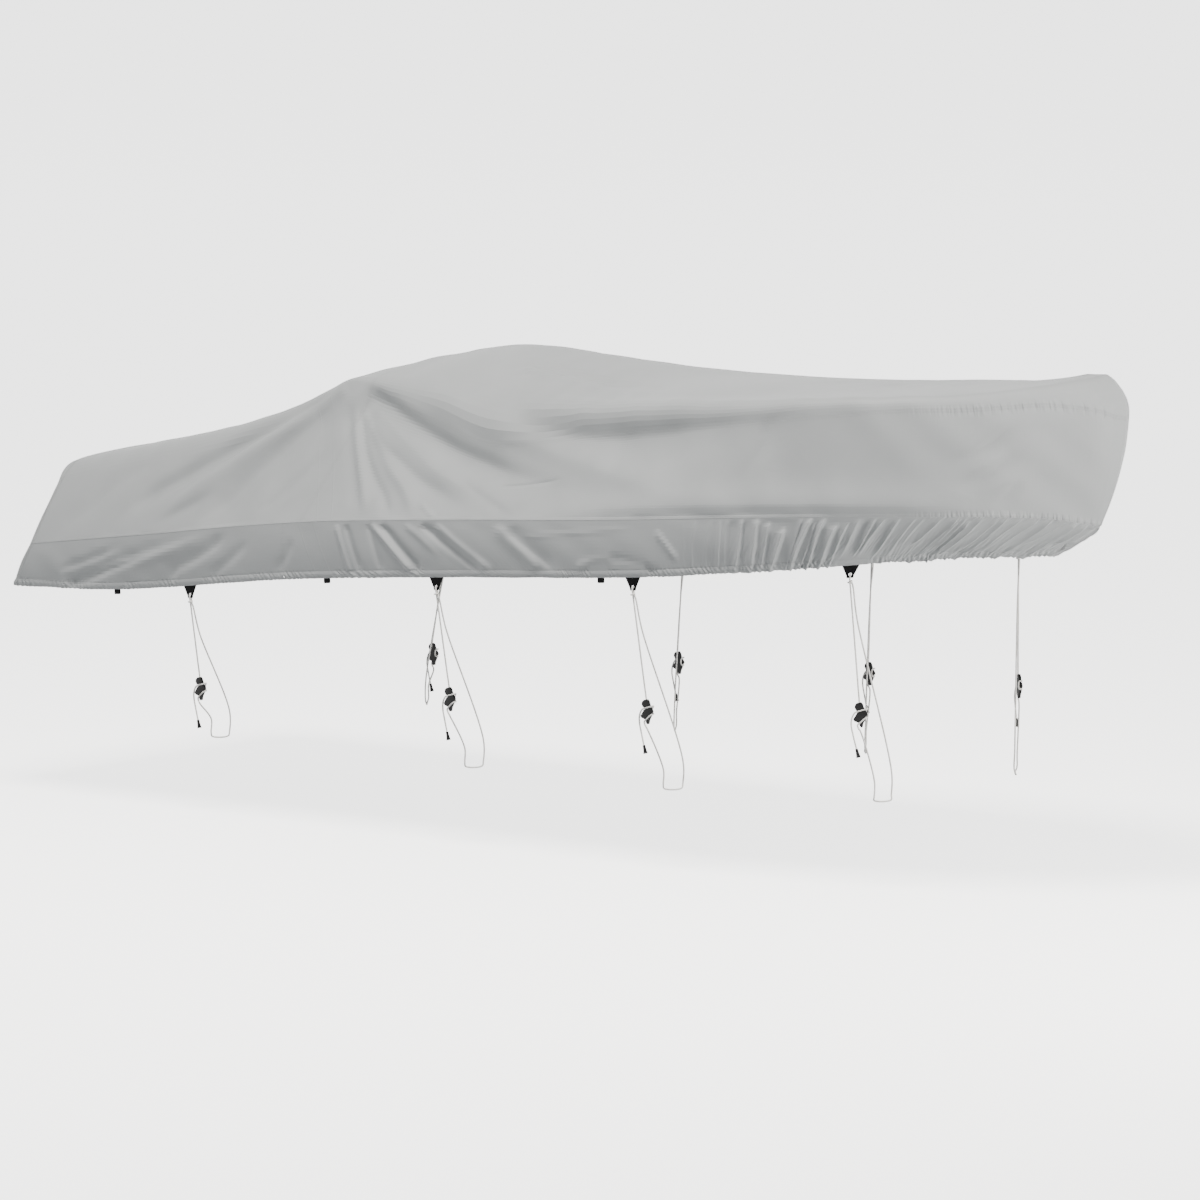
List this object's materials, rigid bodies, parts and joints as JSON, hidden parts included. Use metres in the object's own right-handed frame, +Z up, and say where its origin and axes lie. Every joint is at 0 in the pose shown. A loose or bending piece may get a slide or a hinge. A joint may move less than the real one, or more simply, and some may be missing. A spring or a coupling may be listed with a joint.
{
  "type": "boat cover",
  "caption": "Fitted boat cover of grey cloth with a peaked top, a skirt gathered round the bow and rope ties on webbing tabs.",
  "frame": {"origin": "highest point of the cover on its centre line, where the cloth lies over the top of the boat", "axes": "+X towards the bow, +Y to port, +Z up"},
  "size_m": [6.9464, 2.47, 2.3454],
  "materials": {
    "cover_cloth": "matt coated polyester, light grey",
    "webbing": "woven webbing, black",
    "rope": "braided rope, white",
    "plastic": "satin moulded plastic, black"
  },
  "bodies": {
    "root": {"aft_panel": "cover_cloth", "top_panel": "cover_cloth", "side_panel_starboard": "cover_cloth", "side_panel_port": "cover_cloth", "stern_panel": "cover_cloth", "skirt_aft_starboard": "cover_cloth", "skirt_aft_port": "cover_cloth", "skirt_forward_starboard": "cover_cloth", "skirt_forward_port": "cover_cloth", "tab_starboard_1": "webbing", "tab_starboard_2": "webbing", "tab_starboard_3": "webbing", "tab_starboard_4": "webbing", "tab_port_1": "webbing", "tab_port_2": "webbing", "tab_port_3": "webbing", "tab_port_4": "webbing", "loop_starboard_1": "webbing", "loop_starboard_2": "webbing", "loop_starboard_3": "webbing", "loop_port_1": "webbing", "loop_port_2": "webbing", "loop_port_3": "webbing", "rope_starboard_1": "rope", "rope_starboard_2": "rope", "rope_starboard_3": "rope", "rope_starboard_4": "rope", "rope_port_1": "rope", "rope_port_2": "rope", "rope_port_3": "rope", "rope_port_4": "rope", "cleat_starboard_1": "plastic", "cleat_starboard_2": "plastic", "cleat_starboard_3": "plastic", "cleat_starboard_4": "plastic", "cleat_port_1": "plastic", "cleat_port_2": "plastic", "cleat_port_3": "plastic", "cleat_port_4": "plastic", "end_cap_starboard_1": "plastic", "end_cap_starboard_2": "plastic", "end_cap_starboard_3": "plastic", "end_cap_starboard_4": "plastic", "end_cap_port_1": "plastic", "end_cap_port_2": "plastic", "end_cap_port_3": "plastic", "end_cap_port_4": "plastic"}
  },
  "joints": []
}
